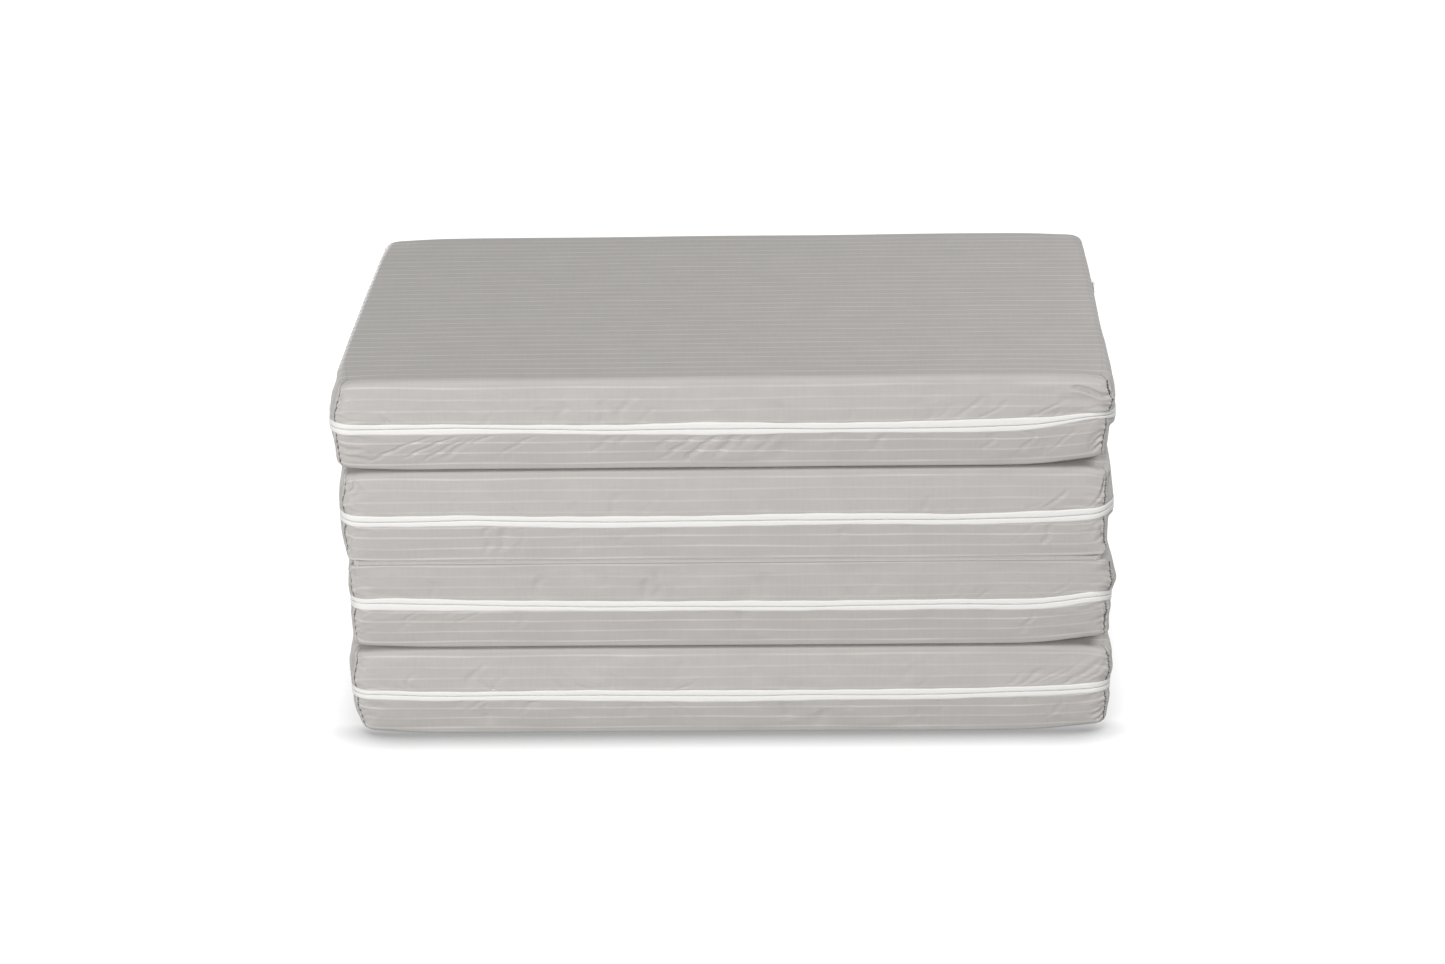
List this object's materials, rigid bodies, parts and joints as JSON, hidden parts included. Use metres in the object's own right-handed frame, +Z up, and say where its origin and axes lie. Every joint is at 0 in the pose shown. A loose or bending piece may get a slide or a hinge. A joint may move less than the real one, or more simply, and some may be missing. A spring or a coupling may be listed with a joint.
{
  "type": "folding mattress",
  "caption": "Four-panel Z-fold foam mattress, stacked: zipped cloth covers over foam slabs, sewn folds at the front and back edges.",
  "frame": {"origin": "on the floor, under the middle of the folded stack", "axes": "+X along the panels' long edges, -Y to the front with the sewn front fold, +Z up"},
  "size_m": [0.8107, 0.4744, 0.4012],
  "materials": {
    "cover_fabric": "matte",
    "binding_fabric": "matte",
    "foam": "matte",
    "zip_tape": "matte",
    "zip_coil": "satin",
    "slider_metal": "satin"
  },
  "bodies": {
    "bottom_panel": {"bottom_panel_foam_core": "foam", "bottom_panel_upper_cover": "cover_fabric", "bottom_panel_lower_cover": "cover_fabric", "bottom_panel_upper_zip_tape": "zip_tape", "bottom_panel_upper_zip_coil": "zip_coil", "bottom_panel_lower_zip_tape": "zip_tape", "bottom_panel_lower_zip_coil": "zip_coil", "bottom_panel_back_fold_binding": "binding_fabric"},
    "bottom_panel_slider": {"bottom_panel_zip_slider": "slider_metal"},
    "bottom_panel_pull": {"bottom_panel_zip_pull": "slider_metal"},
    "lower_middle_panel": {"lower_middle_panel_foam_core": "foam", "lower_middle_panel_upper_cover": "cover_fabric", "lower_middle_panel_lower_cover": "cover_fabric", "lower_middle_panel_upper_zip_tape": "zip_tape", "lower_middle_panel_upper_zip_coil": "zip_coil", "lower_middle_panel_lower_zip_tape": "zip_tape", "lower_middle_panel_lower_zip_coil": "zip_coil", "lower_middle_panel_front_fold_binding": "binding_fabric", "lower_middle_panel_back_fold_binding": "binding_fabric"},
    "lower_middle_panel_slider": {"lower_middle_panel_zip_slider": "slider_metal"},
    "lower_middle_panel_pull": {"lower_middle_panel_zip_pull": "slider_metal"},
    "upper_middle_panel": {"upper_middle_panel_foam_core": "foam", "upper_middle_panel_upper_cover": "cover_fabric", "upper_middle_panel_lower_cover": "cover_fabric", "upper_middle_panel_upper_zip_tape": "zip_tape", "upper_middle_panel_upper_zip_coil": "zip_coil", "upper_middle_panel_lower_zip_tape": "zip_tape", "upper_middle_panel_lower_zip_coil": "zip_coil", "upper_middle_panel_back_fold_binding": "binding_fabric", "upper_middle_panel_front_fold_binding": "binding_fabric"},
    "upper_middle_panel_slider": {"upper_middle_panel_zip_slider": "slider_metal"},
    "upper_middle_panel_pull": {"upper_middle_panel_zip_pull": "slider_metal"},
    "top_panel": {"top_panel_foam_core": "foam", "top_panel_upper_cover": "cover_fabric", "top_panel_lower_cover": "cover_fabric", "top_panel_upper_zip_tape": "zip_tape", "top_panel_upper_zip_coil": "zip_coil", "top_panel_lower_zip_tape": "zip_tape", "top_panel_lower_zip_coil": "zip_coil", "top_panel_back_fold_binding": "binding_fabric"},
    "top_panel_slider": {"top_panel_zip_slider": "slider_metal"},
    "top_panel_pull": {"top_panel_zip_pull": "slider_metal"}
  },
  "joints": [
    {"name": "lower_back_fold", "type": "hinge", "parent": "bottom_panel", "child": "lower_middle_panel", "pos_m": [0, 0.2375, 0.1002], "axis": [-1, 0, 0], "range_deg": [0, 180]},
    {"name": "front_fold", "type": "hinge", "parent": "lower_middle_panel", "child": "upper_middle_panel", "pos_m": [0, -0.2375, 0.2006], "axis": [1, 0, 0], "range_deg": [0, 180]},
    {"name": "upper_back_fold", "type": "hinge", "parent": "upper_middle_panel", "child": "top_panel", "pos_m": [0, 0.2375, 0.301], "axis": [-1, 0, 0], "range_deg": [0, 180]},
    {"name": "bottom_panel_zip_slide", "type": "slide", "parent": "bottom_panel", "child": "bottom_panel_slider", "axis": [0, -1, 0], "range_m": [0, 0.3909]},
    {"name": "bottom_panel_pull_turn", "type": "hinge", "parent": "bottom_panel_slider", "child": "bottom_panel_pull", "pos_m": [0.40562, 0.18795, 0.05], "axis": [0, 0, 1], "range_deg": [0, 180]},
    {"name": "lower_middle_panel_zip_slide", "type": "slide", "parent": "lower_middle_panel", "child": "lower_middle_panel_slider", "axis": [0, -1, 0], "range_m": [0, 0.3909]},
    {"name": "lower_middle_panel_pull_turn", "type": "hinge", "parent": "lower_middle_panel_slider", "child": "lower_middle_panel_pull", "pos_m": [0.40562, 0.18795, 0.1504], "axis": [0, 0, 1], "range_deg": [0, 180]},
    {"name": "upper_middle_panel_zip_slide", "type": "slide", "parent": "upper_middle_panel", "child": "upper_middle_panel_slider", "axis": [0, -1, 0], "range_m": [0, 0.3909]},
    {"name": "upper_middle_panel_pull_turn", "type": "hinge", "parent": "upper_middle_panel_slider", "child": "upper_middle_panel_pull", "pos_m": [0.40562, 0.18795, 0.2508], "axis": [0, 0, 1], "range_deg": [0, 180]},
    {"name": "top_panel_zip_slide", "type": "slide", "parent": "top_panel", "child": "top_panel_slider", "axis": [0, -1, 0], "range_m": [0, 0.3909]},
    {"name": "top_panel_pull_turn", "type": "hinge", "parent": "top_panel_slider", "child": "top_panel_pull", "pos_m": [0.40562, 0.18795, 0.3512], "axis": [0, 0, 1], "range_deg": [0, 180]}
  ]
}
